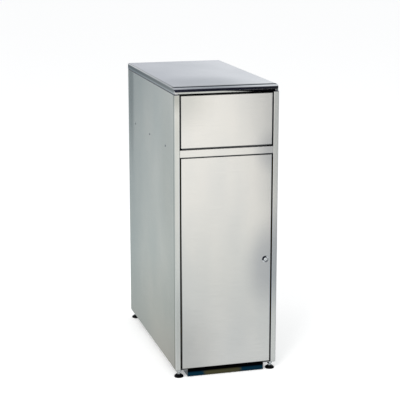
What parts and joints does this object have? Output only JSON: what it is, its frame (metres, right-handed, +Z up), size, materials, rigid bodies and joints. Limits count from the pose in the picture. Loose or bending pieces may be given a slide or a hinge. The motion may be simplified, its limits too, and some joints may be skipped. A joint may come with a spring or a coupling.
{
  "type": "tray emptying waste bin",
  "caption": "Stainless steel tray emptying cabinet with an inward push flap over a lockable door, levelling feet, and a slim wheeled bin inside under a chute.",
  "frame": {"origin": "on the floor under the middle of the cabinet", "axes": "+Z up, +X to the right of someone facing the front, +Y from the front to the rear"},
  "size_m": [0.4544, 0.8825, 1.25],
  "materials": {
    "front_steel": "fine horizontal brushing",
    "side_steel": "fine brushing",
    "worktop_steel": "fine brushing along the depth",
    "inner_steel": "plain mill finish",
    "polished_steel": "bright polished",
    "zinc_hardware": "zinc plated",
    "lock_chrome": "polished",
    "foot_plastic": "moulded, satin",
    "black_nylon": "moulded",
    "black_rubber": "matt",
    "wheel_plastic": "moulded",
    "wheel_rubber": "matt",
    "bin_yellow": "moulded polyethylene, fine texture",
    "core_board": "moisture resistant board"
  },
  "bodies": {
    "cabinet": {"side_left": "side_steel", "side_right": "side_steel", "rear_panel": "side_steel", "worktop": "worktop_steel", "worktop_core": "core_board", "top_rail": "inner_steel", "mid_rail": "front_steel", "side_brace_left": "inner_steel", "side_brace_right": "inner_steel", "side_fixings": "zinc_hardware", "chute_left": "inner_steel", "chute_right": "inner_steel", "chute_front": "inner_steel", "chute_rear": "inner_steel", "chute_screws": "zinc_hardware", "bin_guide": "polished_steel", "bin_stop": "polished_steel", "lower_hinge_plate": "inner_steel", "foot_plates": "inner_steel", "foot_nuts": "zinc_hardware", "flap_bushes": "black_nylon", "door_bush_upper": "black_nylon", "door_bush_lower": "black_nylon", "lock_keeper": "zinc_hardware", "door_buffers": "black_rubber"},
    "flap": {"flap_skin": "front_steel", "flap_liner": "inner_steel", "flap_pin_blocks": "black_nylon", "flap_pins": "zinc_hardware", "flap_buffers": "black_rubber"},
    "door": {"door_skin": "front_steel", "door_liner": "inner_steel", "door_stiffener": "inner_steel", "door_pin_blocks": "black_nylon", "door_pins": "zinc_hardware", "lock_housing": "lock_chrome", "lock_nut": "zinc_hardware"},
    "lock": {"lock_plug": "lock_chrome", "lock_cam": "zinc_hardware", "cam_screw": "zinc_hardware"},
    "bin": {"bin_shell": "bin_yellow", "bin_axle": "zinc_hardware", "axle_caps": "black_nylon", "lid_pins": "black_nylon"},
    "lid": {"bin_lid": "bin_yellow"},
    "wheel_left": {"tyre_left": "wheel_rubber", "hub_left": "wheel_plastic"},
    "wheel_right": {"tyre_right": "wheel_rubber", "hub_right": "wheel_plastic"},
    "foot_front_left": {"foot_stud_front_left": "zinc_hardware", "foot_pad_front_left": "foot_plastic"},
    "foot_front_right": {"foot_stud_front_right": "zinc_hardware", "foot_pad_front_right": "foot_plastic"},
    "foot_rear_left": {"foot_stud_rear_left": "zinc_hardware", "foot_pad_rear_left": "foot_plastic"},
    "foot_rear_right": {"foot_stud_rear_right": "zinc_hardware", "foot_pad_rear_right": "foot_plastic"}
  },
  "joints": [
    {"name": "flap_swing", "type": "hinge", "parent": "cabinet", "child": "flap", "pos_m": [0, -0.4315, 1.205], "axis": [1, 0, 0], "range_deg": [0, 78]},
    {"name": "door_swing", "type": "hinge", "parent": "cabinet", "child": "door", "pos_m": [-0.1885, -0.4315, 0.5], "axis": [0, 0, -1], "range_deg": [0, 105]},
    {"name": "lock_turn", "type": "hinge", "parent": "door", "child": "lock", "pos_m": [0.173, -0.44, 0.501], "axis": [0, -1, 0], "range_deg": [0, 90]},
    {"name": "bin_roll", "type": "slide", "parent": "cabinet", "child": "bin", "axis": [0, 1, 0], "range_m": [0, 0.17]},
    {"name": "lid_swing", "type": "hinge", "parent": "bin", "child": "lid", "pos_m": [0, -0.37489, 0.885], "axis": [-1, 0, 0], "range_deg": [-3, 1.3]},
    {"name": "wheel_spin_left", "type": "hinge", "parent": "bin", "child": "wheel_left", "pos_m": [-0.15, -0.31789, 0.08], "axis": [-1, 0, 0], "continuous": true},
    {"name": "wheel_spin_right", "type": "hinge", "parent": "bin", "child": "wheel_right", "pos_m": [0.15, -0.31789, 0.08], "axis": [-1, 0, 0], "continuous": true},
    {"name": "foot_screw_front_left", "type": "slide", "parent": "cabinet", "child": "foot_front_left", "axis": [0, 0, -1], "range_m": [0, 0.006]},
    {"name": "foot_screw_front_right", "type": "slide", "parent": "cabinet", "child": "foot_front_right", "axis": [0, 0, -1], "range_m": [0, 0.006]},
    {"name": "foot_screw_rear_left", "type": "slide", "parent": "cabinet", "child": "foot_rear_left", "axis": [0, 0, -1], "range_m": [0, 0.006]},
    {"name": "foot_screw_rear_right", "type": "slide", "parent": "cabinet", "child": "foot_rear_right", "axis": [0, 0, -1], "range_m": [0, 0.006]}
  ],
  "couplings": [
    {"joint": "wheel_spin_left", "follows": "bin_roll", "rad_per_m": 12.5},
    {"joint": "wheel_spin_right", "follows": "bin_roll", "rad_per_m": 12.5}
  ]
}
